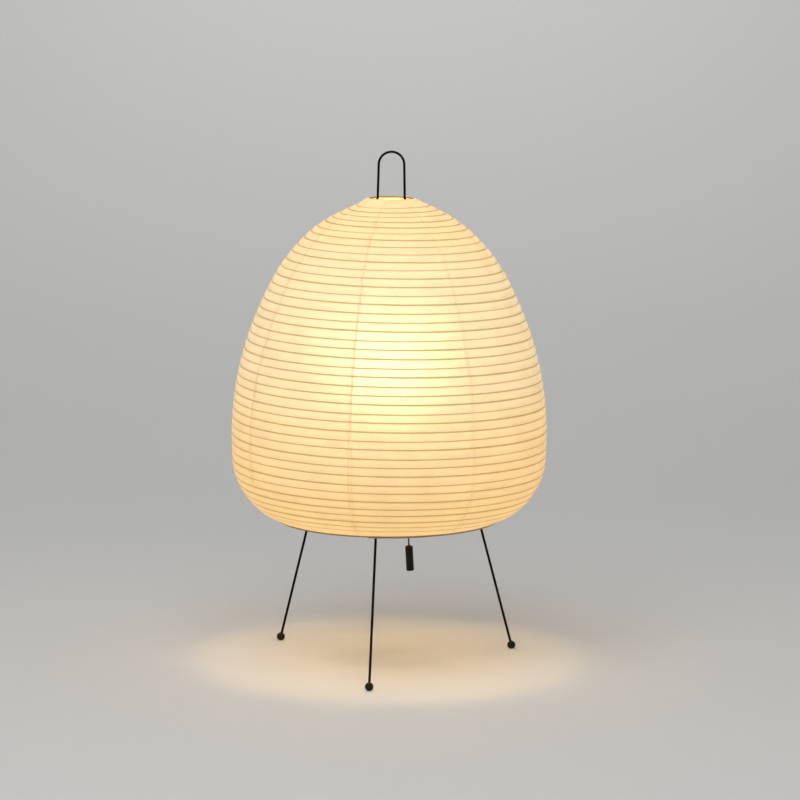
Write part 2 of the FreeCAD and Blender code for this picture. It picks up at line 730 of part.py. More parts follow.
def lamp_nodes():
    """Every piece of the lamp, by the name of its node."""
    nodes = {
        "spiral_rib": spiral_rib(),
        "top_hoop": top_hoop(),
        "bottom_hoop": bottom_hoop(),
        "stretcher_handle": stretcher_handle(),
        "ball_feet": ball_feet(),
        "hub": hub(),
        "leg_screws": leg_screws(),
        "nipple": nipple(),
        "lock_nut": lock_nut(),
        "inlet_bush": inlet_bush(),
        "switch_housing": switch_housing(),
        "pull_bush": pull_bush(),
        "switch_traveller": switch_traveller(),
        "pull_cord_upper": pull_cord_upper(),
        "pull_cord": pull_cord(),
        "pull_handle": pull_handle(),
        "pull_knot": pull_knot(),
        "holder_shell": holder_shell(),
        "holder_insulator": holder_insulator(),
        "holder_screws": holder_screws(),
        "screw_shell": screw_shell(),
        "centre_contact": centre_contact(),
        "bulb_contact": bulb_contact(),
        "bulb_insulator": bulb_insulator(),
        "bulb_cap": bulb_cap(),
        "bulb_glass": bulb_glass(),
    }
    gore = paper_gore()
    for i in range(GORE_COUNT):
        nodes[f"paper_gore_{i + 1}"] = turned(gore, FIRST_SEAM + 360.0 / GORE_COUNT * i)
    one_leg = leg()
    for i, azimuth in enumerate(leg_azimuths):
        nodes[f"leg_{i + 1}"] = turned(one_leg, azimuth)
    return nodes


os.makedirs("parts", exist_ok=True)
for name, shape in lamp_nodes().items():
    shape.exportStep(f"parts/{name}.step")
    print(f"{name}: {len(shape.Solids)} solid, {shape.Volume:.1f} mm3, valid {shape.isValid()}")
print(f"spiral rib: {RIB_TURNS} turns, pitch {rib_pitch:.2f}, least gap to itself {least_rib_gap():.2f}")
print(f"pull cord: {PULL_DROP:.1f} to the handle, {-knot_top:.1f} to the knot, straight")
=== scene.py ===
"""A paper bedside lamp: gores on a spiral rib, a wire frame with ball feet, a pull switch and a bulb."""

import math

import bpy
import numpy as np
from mathutils import Matrix, Vector


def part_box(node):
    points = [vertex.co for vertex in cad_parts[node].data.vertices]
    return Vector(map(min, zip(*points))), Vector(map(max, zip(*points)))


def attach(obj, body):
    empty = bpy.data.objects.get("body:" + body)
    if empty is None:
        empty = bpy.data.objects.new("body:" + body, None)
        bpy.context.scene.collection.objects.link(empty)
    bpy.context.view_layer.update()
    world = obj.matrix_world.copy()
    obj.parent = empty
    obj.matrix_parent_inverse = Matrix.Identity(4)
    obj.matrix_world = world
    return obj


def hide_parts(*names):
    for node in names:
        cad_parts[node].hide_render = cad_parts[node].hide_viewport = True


bl_info = {
    "name": "Paper bedside lamp",
    "version": (1, 0, 0),
    "blender": (4, 5, 0),
    "location": "View3D > Sidebar > Lamp",
    "description": "Dresses the lamp's frame with paper, bamboo, wire, cord and light",
    "category": "Object",
}

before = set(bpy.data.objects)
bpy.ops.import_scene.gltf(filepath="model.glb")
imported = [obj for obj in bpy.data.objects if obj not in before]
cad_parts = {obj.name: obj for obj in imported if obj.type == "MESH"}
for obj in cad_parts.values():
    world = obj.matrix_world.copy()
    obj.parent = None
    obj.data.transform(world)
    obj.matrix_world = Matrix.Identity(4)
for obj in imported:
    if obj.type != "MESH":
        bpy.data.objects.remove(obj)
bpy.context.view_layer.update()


class LampShade(bpy.types.PropertyGroup):
    """Sizes of the paper shade and its rib."""

    radius: bpy.props.FloatProperty(
        name="Widest radius", description="Outer radius at the belly", default=0.130, unit="LENGTH")
    belly: bpy.props.FloatProperty(
        name="Belly height", description="Height of the widest girth", default=0.191, unit="LENGTH")
    top: bpy.props.FloatProperty(
        name="Top", description="Height of the top mouth", default=0.3862, unit="LENGTH")
    top_mouth: bpy.props.FloatProperty(
        name="Top mouth", description="Outer radius of the top mouth", default=0.019, unit="LENGTH")
    top_slope: bpy.props.FloatProperty(
        name="Top slope", description="Slope of the paper at the top mouth",
        default=math.radians(19), subtype="ANGLE")
    top_fullness: bpy.props.FloatProperty(
        name="Top fullness", description="How long the paper stays upright above the belly", default=2.0)
    crown_length: bpy.props.FloatProperty(
        name="Crown length", description="Length of the last arc up to the top mouth",
        default=0.1044, unit="LENGTH")
    crown_turn: bpy.props.FloatProperty(
        name="Crown turn", description="Turn of the last arc up to the top mouth",
        default=math.radians(43), subtype="ANGLE")
    bottom: bpy.props.FloatProperty(
        name="Bottom", description="Height of the bottom mouth", default=0.1214, unit="LENGTH")
    bottom_mouth: bpy.props.FloatProperty(
        name="Bottom mouth", description="Outer radius of the bottom mouth", default=0.093, unit="LENGTH")
    bottom_slope: bpy.props.FloatProperty(
        name="Bottom slope", description="Slope of the paper at the bottom mouth",
        default=math.radians(22.7), subtype="ANGLE")
    bottom_fullness: bpy.props.FloatProperty(
        name="Bottom fullness", description="How long the paper stays upright below the belly",
        default=1.07)
    curl_length: bpy.props.FloatProperty(
        name="Curl length", description="Length of the last arc down to the bottom mouth",
        default=0.0444, unit="LENGTH")
    curl_turn: bpy.props.FloatProperty(
        name="Curl turn", description="Turn of the last arc down to the bottom mouth",
        default=math.radians(41.4), subtype="ANGLE")
    gores: bpy.props.IntProperty(
        name="Gores", description="Strips of paper round the shade", default=8)
    first_seam: bpy.props.FloatProperty(
        name="First seam", description="Azimuth of the first seam, from the front",
        default=math.radians(-14), subtype="ANGLE")
    seam_lap: bpy.props.FloatProperty(
        name="Seam lap", description="How far one gore lies over the next", default=0.0011, unit="LENGTH")
    paper: bpy.props.FloatProperty(
        name="Paper", description="Thickness of the paper", default=0.00018, unit="LENGTH")
    bulge: bpy.props.FloatProperty(
        name="Bulge", description="How far the paper stands out between two turns of the rib",
        default=0.0005, unit="LENGTH")
    sink: bpy.props.FloatProperty(
        name="Sink", description="How far the paper is drawn in at the rib",
        default=0.0003, unit="LENGTH")
    dip: bpy.props.FloatProperty(
        name="Dip", description="How far the paper hangs round the top mouth",
        default=0.0016, unit="LENGTH")
    tilt: bpy.props.FloatProperty(
        name="Tilt", description="How far the left of the bottom mouth hangs",
        default=0.0012, unit="LENGTH")
    lift: bpy.props.FloatProperty(
        name="Lift", description="How far the bottom edge is drawn up", default=0.0010, unit="LENGTH")
    rib_turns: bpy.props.IntProperty(
        name="Rib turns", description="Turns of the spiral rib", default=42)
    rib_width: bpy.props.FloatProperty(
        name="Rib width", description="Thickness of the split bamboo", default=0.0014, unit="LENGTH")
    rib_top_margin: bpy.props.FloatProperty(
        name="Rib top margin", description="Paper above the rib's first turn",
        default=0.0099, unit="LENGTH")
    rib_bottom_margin: bpy.props.FloatProperty(
        name="Rib bottom margin", description="Paper below the rib's last turn",
        default=0.0093, unit="LENGTH")


class LampFinish(bpy.types.PropertyGroup):
    """Colours of the lamp's materials."""

    paper: bpy.props.FloatVectorProperty(
        name="Paper", description="Paper by daylight", default=(0.74, 0.72, 0.565), subtype="COLOR")
    glow_dim: bpy.props.FloatVectorProperty(
        name="Dim glow", description="Lit paper far from the bulb",
        default=(0.355, 0.187, 0.045), subtype="COLOR")
    glow_bright: bpy.props.FloatVectorProperty(
        name="Bright glow", description="Lit paper near the bulb",
        default=(0.31, 0.20, 0.098), subtype="COLOR")
    # Painted shadow of the rib on the lit paper, with the rib showing through: it darkens the glow and the
    # paper's colour over the rib.
    rib_shadow_and_tint: bpy.props.FloatVectorProperty(
        name="Rib shade", description="Tint of the paper over the rib",
        default=(0.62, 0.64, 0.43), subtype="COLOR")
    # Painted shade: the glow is darkened where the paper is double and lets less light through.
    seam_painted_shade: bpy.props.FloatVectorProperty(
        name="Seam shade", description="Tint of the glow where paper is double",
        default=(0.99, 0.98, 0.97), subtype="COLOR")
    bamboo: bpy.props.FloatVectorProperty(
        name="Bamboo", description="Split bamboo", default=(0.42, 0.29, 0.13), subtype="COLOR")
    hoop: bpy.props.FloatVectorProperty(
        name="Hoop", description="Dark strip in the mouths",
        default=(0.34, 0.255, 0.105), subtype="COLOR")
    black: bpy.props.FloatVectorProperty(
        name="Black paint", description="Paint on the wires",
        default=(0.0055, 0.0038, 0.0020), subtype="COLOR")
    ball: bpy.props.FloatVectorProperty(
        name="Ball feet", description="Paint on the feet",
        default=(0.020, 0.0110, 0.0040), subtype="COLOR")
    pull: bpy.props.FloatVectorProperty(
        name="Pull handle", description="Turned bar of the pull",
        default=(0.0085, 0.0050, 0.0028), subtype="COLOR")
    cord: bpy.props.FloatVectorProperty(
        name="Pull cord", description="Braid of the pull cord",
        default=(0.009, 0.0065, 0.005), subtype="COLOR")
    plastic: bpy.props.FloatVectorProperty(
        name="Plastic", description="Switch and holder", default=(0.022, 0.021, 0.020), subtype="COLOR")
    bulb_light: bpy.props.FloatVectorProperty(
        name="Bulb light", description="Colour of the lit bulb",
        default=(1.0, 0.70, 0.36), subtype="COLOR")


class LampPull(bpy.types.PropertyGroup):
    """Sizes of the pull below the shade."""

    cord: bpy.props.FloatProperty(
        name="Cord", description="Diameter of the pull cord", default=0.0012, unit="LENGTH")
    swing: bpy.props.FloatVectorProperty(
        name="Swing centre", description="Where the free cord starts",
        default=(0.015265, -0.009539, 0.1306), subtype="TRANSLATION")
    lean: bpy.props.FloatProperty(
        name="Lean", description="How far the pull leans to the right",
        default=math.radians(3.5), subtype="ANGLE")
    drop: bpy.props.FloatProperty(
        name="Drop", description="Free cord above the handle", default=0.0318, unit="LENGTH")
    handle_length: bpy.props.FloatProperty(
        name="Handle length", description="Length of the handle", default=0.0214, unit="LENGTH")
    handle_radius: bpy.props.FloatProperty(
        name="Handle radius", description="Radius of the handle", default=0.0032, unit="LENGTH")
    knot_depth: bpy.props.FloatProperty(
        name="Knot depth", description="Depth of the hollow that takes the knot",
        default=0.005, unit="LENGTH")


class LampStage(bpy.types.PropertyGroup):
    """The camera, the lights and the floor."""

    distance: bpy.props.FloatProperty(
        name="Camera distance", description="From the camera to the lamp", default=2.7, unit="LENGTH")
    elevation: bpy.props.FloatProperty(
        name="Elevation", description="How far the camera looks down",
        default=math.radians(8.38), subtype="ANGLE")
    roll: bpy.props.FloatProperty(
        name="Roll", description="How far the picture is turned",
        default=math.radians(0.51), subtype="ANGLE")
    aim: bpy.props.FloatProperty(
        name="Aim", description="Height that the camera looks at", default=0.2189, unit="LENGTH")
    pixels_per_metre: bpy.props.FloatProperty(
        name="Picture scale", description="Pixels to a metre at the lamp, in a picture 800 wide",
        default=1209.8)
    off_centre: bpy.props.FloatProperty(
        name="Off centre", description="How far left of the middle the lamp stands, in picture widths",
        default=0.01323)
    floor: bpy.props.FloatVectorProperty(
        name="Floor", description="Floor and backdrop", default=(0.68, 0.68, 0.67), subtype="COLOR")


def smooth_step(low, high, value):
    """0 below low, 1 above high, and the cubic 3x^2 - 2x^3 of the share between them."""
    share = np.clip((value - low) / (high - low), 0.0, 1.0)
    return share * share * (3.0 - 2.0 * share)


def around(radius, azimuth, height):
    """Points at a radius, an azimuth from the front and a height."""
    x, y = radius * np.sin(azimuth), -radius * np.cos(azimuth)
    return np.stack(np.broadcast_arrays(x, y, height), axis=-1)


def plane_arc(start, direction, end):
    """The arc from start along a direction to end: its centre, radius, first angle and sweep."""
    chord = end - start
    left = np.array([-direction[1], direction[0]])
    across, along = chord @ left, chord @ direction
    signed = chord @ chord / (2.0 * across)
    centre = start + left * signed
    first = math.atan2(start[1] - centre[1], start[0] - centre[0])
    return np.array([centre[0], centre[1], abs(signed), first, 2.0 * math.atan2(across, along)])


def biarc(start, start_direction, end, end_direction, fullness):
    """Two arcs that share a tangent; the first tangent is fullness times as long as the second."""
    chord = end - start
    both = fullness * start_direction + end_direction
    square = (fullness + 1.0) ** 2 - both @ both
    dot = chord @ both
    second = (math.sqrt(dot * dot + square * (chord @ chord)) - dot) / square
    first = fullness * second
    corner = start + first * start_direction
    far_corner = end - second * end_direction
    joint = (corner * second + far_corner * first) / (first + second)
    joint_direction = (far_corner - corner) / np.linalg.norm(far_corner - corner)
    return [plane_arc(start, start_direction, joint), plane_arc(joint, joint_direction, end)]


def mouth_arc(mouth, slope, length, turn, sign):
    """The last arc to a mouth, up or down by the sign: it turns over its length and ends at a slope."""
    first, radius = slope + turn, length / turn
    start = mouth + radius * np.array([
        math.sin(first) - math.sin(slope),
        -sign * (math.cos(slope) - math.cos(first)),
    ])
    way = np.array([-math.cos(first), sign * math.sin(first)])
    return start, way, plane_arc(start, way, mouth)


class Meridian:
    """The shade's outline from the top mouth to the bottom one, as six tangent arcs."""

    # Down from the top mouth: where the dip is full, where it starts to fade and where it ends.
    dip_full, dip_fade, dip_end = 0.011, 0.012, 0.056
    # Up from the bottom mouth: how far the tilt and the drawn-up edge reach.
    tilt_reach, edge_reach = 0.075, 0.018
    # The rib's slow drift: its size, the turn where it starts and the turns that it takes.
    drift_size, drift_start, drift_turns = 0.0019, 11.5, 52.0
    # The rib's hand-wound waver, as waves of a size, a rate in each turn and a phase.
    wavers = ((0.00022, 1.37, 0.0), (0.00016, 0.61, 1.0))

    def __init__(self, shade):
        belly = np.array([shade.radius, shade.belly])
        top = np.array([shade.top_mouth, shade.top])
        bottom = np.array([shade.bottom_mouth, shade.bottom])
        up = np.array([0.0, 1.0])
        crown_start, crown_way, crown = mouth_arc(
            top, shade.top_slope, shade.crown_length, shade.crown_turn, 1.0)
        curl_start, curl_way, curl = mouth_arc(
            bottom, shade.bottom_slope, shade.curl_length, shade.curl_turn, -1.0)
        above = np.array(biarc(belly, up, crown_start, crown_way, shade.top_fullness) + [crown])[::-1]
        above[:, 3] += above[:, 4]
        above[:, 4] *= -1.0
        below = np.array(biarc(belly, -up, curl_start, curl_way, shade.bottom_fullness) + [curl])
        self.arcs = np.concatenate([above, below])
        self.lengths = self.arcs[:, 2] * np.abs(self.arcs[:, 4])
        self.starts = np.concatenate([[0.0], np.cumsum(self.lengths)])
        self.length = self.starts[-1]
        self.margin = shade.rib_top_margin
        self.turns = shade.rib_turns
        self.dip, self.tilt, self.lift = shade.dip, shade.tilt, shade.lift
        self.pitch = (self.length - shade.rib_top_margin - shade.rib_bottom_margin) / shade.rib_turns

    def at(self, down, azimuth, rise):
        """Points at a distance down the outline and an azimuth, lifted off it along the outward normal."""
        which = np.clip(np.searchsorted(self.starts, down, side="right") - 1, 0, len(self.arcs) - 1)
        arc = self.arcs[which]
        angle = arc[..., 3] + arc[..., 4] * (down - self.starts[which]) / self.lengths[which]
        radius = arc[..., 0] + (arc[..., 2] + rise) * np.cos(angle)
        height = arc[..., 1] + (arc[..., 2] + rise) * np.sin(angle) - self.hang(down, azimuth)
        return around(radius, azimuth, height)

    def hang(self, down, azimuth):
        """How far the paper hangs below its outline: a dip at the top, a tilt and a drawn-up edge below."""
        near_top = smooth_step(0.0, self.dip_full, down) * smooth_step(self.dip_end, self.dip_fade, down)
        near_bottom = smooth_step(self.length - self.tilt_reach, self.length, down)
        left = 0.5 - 0.5 * np.sin(azimuth)
        edge = smooth_step(self.length - self.edge_reach, self.length, down)
        return self.dip * near_top * (0.5 + left) + self.tilt * near_bottom * left - self.lift * edge

    def rib_down(self, turn):
        """How far down the outline the rib lies after some turns: even turns, a slow drift and a waver."""
        drift = self.drift_size * np.sin(math.tau * (turn - self.drift_start) / self.drift_turns)
        waver = sum(size * np.sin(math.tau * rate * turn + phase) for size, rate, phase in self.wavers)
        return self.margin + self.pitch * turn + drift + waver


def sheet_faces(rows, columns, closed, first=0):
    """Quads of a grid, facing away from (columns x rows); a closed one joins its last and first columns."""
    index = first + np.arange(rows * columns).reshape(rows, columns)
    if closed:
        index = np.concatenate([index, index[:, :1]], axis=1)
    quads = np.stack([index[:-1, :-1], index[1:, :-1], index[1:, 1:], index[:-1, 1:]], axis=-1)
    return quads.reshape(-1, 4)


def shell(outer, inner):
    """Vertices and quads of a wall between two grids of the same shape, closed along its edges."""
    rows, columns = outer.shape[:2]
    count = rows * columns
    outside = sheet_faces(rows, columns, False)
    inside = sheet_faces(rows, columns, False, count)[:, ::-1]
    index = np.arange(count).reshape(rows, columns)
    rim = np.concatenate([index[:, 0], index[-1, 1:], index[-2::-1, -1], index[0, -2::-1]])
    edge = np.stack([rim[1:], rim[:-1], rim[:-1] + count, rim[1:] + count], axis=-1)
    vertices = np.concatenate([outer.reshape(-1, 3), inner.reshape(-1, 3)])
    return vertices, np.concatenate([outside, inside, edge])


def swept(path, sideways, upright, section):
    """The grid of a section carried along a path: path + x * sideways + y * upright."""
    x, y = section[None, :, :1], section[None, :, 1:]
    return path[:, None] + x * sideways[:, None] + y * upright[:, None]


def carried(path, sideways, upright, section):
    """A closed section carried along a path, with both ends closed."""
    grid = swept(path, sideways, upright, section)
    rows, columns = grid.shape[:2]
    faces = sheet_faces(rows, columns, True).tolist()
    faces.append(list(range(columns)))
    faces.append(list(range(rows * columns - 1, (rows - 1) * columns - 1, -1)))
    return grid.reshape(-1, 3), faces


def strip_places(length, section):
    """Where each vertex of a carried strip lies: the length along it and its place in the section."""
    places = np.broadcast_arrays(length[:, None], section[None, :, 0], section[None, :, 1])
    return np.stack(places, axis=-1).reshape(-1, 3)


def turned(profile, columns):
    """A closed profile of (radius, height) points turned about the Z axis, as a ring of its own."""
    azimuth = np.linspace(0.0, math.tau, columns, endpoint=False)
    grid = around(profile[:, :1], azimuth, profile[:, 1:])
    faces = sheet_faces(len(profile) + 1, columns, True) % (len(profile) * columns)
    return grid.reshape(-1, 3), faces


def smooth_mesh(name, vertices, faces, material):
    """A mesh with one material, shaded smooth."""
    mesh = bpy.data.meshes.new(name)
    polygons = faces.tolist() if isinstance(faces, np.ndarray) else faces
    mesh.from_pydata(vertices.tolist(), [], polygons)
    mesh.polygons.foreach_set("use_smooth", np.ones(len(mesh.polygons), dtype=bool))
    mesh.materials.append(material)
    return mesh


def placed(name, data):
    """An object in the scene for a mesh, a curve, a light or a camera."""
    made = bpy.data.objects.new(name, data)
    bpy.context.scene.collection.objects.link(made)
    return made


def piece(name, vertices, faces, material, body, replaced=(), attributes=None):
    """A mesh object at the origin that rides on a body and stands for the CAD nodes that it replaces."""
    mesh = smooth_mesh(name, vertices, faces, material)
    for key, values in (attributes or {}).items():
        values = np.asarray(values, dtype=np.float32)
        kind, field = ("FLOAT", "value") if values.ndim == 1 else ("FLOAT_VECTOR", "vector")
        mesh.attributes.new(key, kind, "POINT").data.foreach_set(field, values.ravel())
    mesh.update()
    made = placed(name, mesh)
    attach(made, body)
    if replaced:
        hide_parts(*replaced)
    return made


class NodeTree:
    """Adds and joins the nodes of a material or a group."""

    def __init__(self, tree):
        self.tree = tree

    def add(self, kind, settings=None, **inputs):
        """A node with its settings, and its inputs as values or as sockets to join."""
        node = self.tree.nodes.new(kind)
        for key, value in (settings or {}).items():
            setattr(node, key, value)
        self.fill(node, **inputs)
        return node

    def fill(self, node, **inputs):
        """Feeds several inputs of a node, with underscores for the spaces in their names."""
        for key, value in inputs.items():
            self.feed(node, key.replace("_", " "), value)

    def feed(self, node, name, value):
        """Puts a value on a node's input, or joins a socket to it."""
        socket = node.inputs[int(name[1:])] if name[0] == "n" and name[1:].isdigit() else node.inputs[name]
        if isinstance(value, bpy.types.NodeSocket):
            self.tree.links.new(value, socket)
        else:
            socket.default_value = value

    def math(self, operation, first, second=0.0):
        """The result of a Math node."""
        return self.add("ShaderNodeMath", {"operation": operation}, n0=first, n1=second).outputs[0]

    def ramp(self, value, low, high, low_out=0.0, high_out=1.0):
        """A value carried smoothly from one range to another."""
        node = self.add(
            "ShaderNodeMapRange", {"interpolation_type": "SMOOTHSTEP"}, Value=value,
            From_Min=low, From_Max=high, To_Min=low_out, To_Max=high_out)
        return node.outputs["Result"]

    def mix(self, share, first, second, blend="MIX"):
        """Two colours mixed by a share."""
        settings = {"data_type": "RGBA", "blend_type": blend}
        return self.add("ShaderNodeMix", settings, n0=share, n6=first, n7=second).outputs[2]

    def tint(self, share, base, shade):
        """A colour, multiplied by another where a share says so."""
        return self.mix(share, base, self.mix(1.0, base, shade, "MULTIPLY"))

    def scaled(self, values, gain):
        """A colour or a vector times a number."""
        return self.add("ShaderNodeVectorMath", {"operation": "SCALE"}, n0=values, Scale=gain).outputs[0]

    def attribute(self, name, output="Fac"):
        """An attribute of the mesh, as a number or as a vector."""
        return self.add("ShaderNodeAttribute", {"attribute_name": name}).outputs[output]

    def noise(self, place, scale, detail, distortion=0.0):
        """A noise texture's value."""
        node = self.add(
            "ShaderNodeTexNoise", Vector=place, Scale=scale, Detail=detail, Distortion=distortion)
        return node.outputs["Fac"]

    def bump(self, shader, height, strength, distance):
        """A bump from a height, on a shader's normal."""
        node = self.add("ShaderNodeBump", Strength=strength, Distance=distance, Height=height)
        self.feed(shader, "Normal", node.outputs["Normal"])


def colour(values):
    """A colour property with full alpha."""
    return (*values, 1.0)


def new_material(name):
    """A material, the tree that holds its nodes and its Principled shader."""
    material = bpy.data.materials.new(name)
    material.use_nodes = True
    return material, NodeTree(material.node_tree), material.node_tree.nodes["Principled BSDF"]


def fine_variation():
    """Group: fine speckle and broad cloudiness on a colour and its roughness, with a height for bump."""
    name = "Fine variation"
    if name in bpy.data.node_groups:
        return bpy.data.node_groups[name]
    group = bpy.data.node_groups.new(name, "ShaderNodeTree")
    for label, kind, default in (
        ("Color", "NodeSocketColor", (0.5, 0.5, 0.5, 1.0)),
        ("Scale", "NodeSocketFloat", 800.0),
        ("Spread", "NodeSocketFloat", 0.2),
        ("Roughness", "NodeSocketFloat", 0.5),
        ("Roughness Spread", "NodeSocketFloat", 0.1),
    ):
        group.interface.new_socket(label, in_out="INPUT", socket_type=kind).default_value = default
    outputs = {"Color": "NodeSocketColor", "Roughness": "NodeSocketFloat", "Height": "NodeSocketFloat"}
    for label, kind in outputs.items():
        group.interface.new_socket(label, in_out="OUTPUT", socket_type=kind)
    tree = NodeTree(group)
    entry = tree.add("NodeGroupInput").outputs
    place = tree.add("ShaderNodeTexCoord").outputs["Object"]
    fine = tree.noise(place, entry["Scale"], 4.0)
    broad_scale = tree.math("MULTIPLY", entry["Scale"], 0.09)
    broad = tree.noise(place, broad_scale, 2.0)
    both = tree.math("ADD", tree.math("MULTIPLY", fine, 0.6), tree.math("MULTIPLY", broad, 0.4))
    centred = tree.math("SUBTRACT", both, 0.5)
    gain = tree.math("ADD", tree.math("MULTIPLY", centred, entry["Spread"]), 1.0)
    rough = tree.math("ADD", tree.math("MULTIPLY", centred, entry["Roughness Spread"]), entry["Roughness"])
    tree.add("NodeGroupOutput", Color=tree.scaled(entry["Color"], gain), Roughness=rough, Height=fine)
    return group


def finish_material(name, base, roughness, metallic=0.0, scale=800.0, spread=0.3, rough_spread=0.15,
                    bump=0.0, specular=0.5):
    """A painted, moulded or metal finish: the fine variation group on a Principled shader."""
    material, tree, shader = new_material(name)
    vary = tree.add(
        "ShaderNodeGroup", {"node_tree": fine_variation()}, Color=colour(base), Scale=scale, Spread=spread,
        Roughness=roughness, Roughness_Spread=rough_spread)
    tree.fill(
        shader, Base_Color=vary.outputs["Color"], Roughness=vary.outputs["Roughness"], Metallic=metallic,
        Specular_IOR_Level=specular)
    if bump:
        tree.bump(shader, vary.outputs["Height"], 0.4, bump)
    return material


def paper_material(finish):
    """Lit paper: a painted glow by the light on it, long fibres, a painted rib shadow and tint, and painted
    shade where it is double.
    """
    material, tree, shader = new_material("Lit paper")
    sheet = tree.attribute("sheet", "Vector")
    stretched = tree.add("ShaderNodeMapping", Vector=sheet, Scale=(1.0, 2.2, 1.0)).outputs["Vector"]
    fibres = tree.noise(stretched, 520.0, 5.0, 1.6)
    grain = tree.ramp(fibres, 0.25, 0.75, 0.94, 1.05)
    cloud = tree.ramp(tree.noise(sheet, 55.0, 3.0), 0.25, 0.75, 0.97, 1.03)
    thin = tree.math("MULTIPLY", grain, cloud)
    # The distance from the rib is in millimetres.
    on_rib = tree.ramp(tree.attribute("rib_distance"), 0.25, 0.75, 1.0, 0.0)
    # The emission is painted light: the bulb's light through the paper, worked out for each point in the
    # glow attribute.
    lit = tree.mix(tree.attribute("glow"), colour(finish.glow_dim), colour(finish.glow_bright))
    # Painted shade on the glow where the paper is double.
    lit = tree.tint(tree.attribute("double"), lit, colour(finish.seam_painted_shade))
    # Painted shadow of the rib: the glow and the paper's colour are darkened over the rib.
    lit = tree.tint(on_rib, lit, colour(finish.rib_shadow_and_tint))
    base = tree.tint(on_rib, colour(finish.paper), colour(finish.rib_shadow_and_tint))
    tree.bump(shader, fibres, 0.25, 0.0002)
    tree.fill(
        shader, Base_Color=tree.scaled(base, thin), Emission_Color=tree.scaled(lit, thin),
        Emission_Strength=1.0, Roughness=0.62, IOR=1.45, Specular_IOR_Level=0.2, Transmission_Weight=0.33)
    return material


def strip_material(name, base, along, rough):
    """Split bamboo: streaks that run along the strip, by its own attribute."""
    material, tree, shader = new_material(name)
    strip = tree.attribute("strip", "Vector")
    stretched = tree.add("ShaderNodeMapping", Vector=strip, Scale=(along, 1.0, 1.0)).outputs["Vector"]
    streaks = tree.noise(stretched, 1400.0, 4.0)
    gain = tree.ramp(streaks, 0.25, 0.75, 0.7, 1.25)
    rough = tree.ramp(streaks, 0.25, 0.75, rough + 0.1, rough - 0.1)
    tree.fill(shader, Base_Color=tree.scaled(base, gain), Roughness=rough)
    tree.bump(shader, streaks, 0.3, 0.0001)
    return material


def braid_material(name, base):
    """Dark braided cord: two crossing bands of fine waves."""
    material, tree, shader = new_material(name)
    place = tree.add("ShaderNodeTexCoord").outputs["Object"]
    waves = []
    for turn in (math.radians(35), math.radians(-35)):
        slanted = tree.add("ShaderNodeMapping", Vector=place, Rotation=(0.0, turn, 0.0)).outputs["Vector"]
        wave = tree.add(
            "ShaderNodeTexWave", {"bands_direction": "Z"}, Vector=slanted, Scale=520.0, Distortion=0.4)
        waves.append(wave.outputs["Fac"])
    woven = tree.math("MAXIMUM", *waves)
    gain = tree.ramp(woven, 0.2, 0.9, 0.5, 1.6)
    tree.fill(shader, Base_Color=tree.scaled(base, gain), Roughness=0.8)
    tree.bump(shader, woven, 0.5, 0.0002)
    return material


def bulb_material(finish):
    """Lit opal glass, brightest in the globe and dimmer down the neck."""
    material, tree, shader = new_material("Lit opal glass")
    place = tree.add("ShaderNodeTexCoord").outputs["Object"]
    cloud = tree.ramp(tree.noise(place, 30.0, 2.0), 0.3, 0.7, 0.0, 0.12)
    light = tree.mix(cloud, colour(finish.bulb_light), (1.0, 1.0, 1.0, 1.0))
    low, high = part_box("bulb_glass")
    globe_start = 0.45 * low.z + 0.55 * high.z
    up = tree.add("ShaderNodeSeparateXYZ", Vector=place).outputs["Z"]
    globe = tree.ramp(up, low.z, globe_start, 0.08, 1.0)
    tree.fill(
        shader, Base_Color=(0.9, 0.88, 0.84, 1.0), Roughness=0.25, Emission_Color=tree.scaled(light, globe),
        Emission_Strength=34.0)
    return material


def dress(nodes, material):
    """Gives CAD nodes that keep their shape a finish of their own."""
    for name in nodes:
        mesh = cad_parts[name].data
        mesh.materials.clear()
        mesh.materials.append(material)


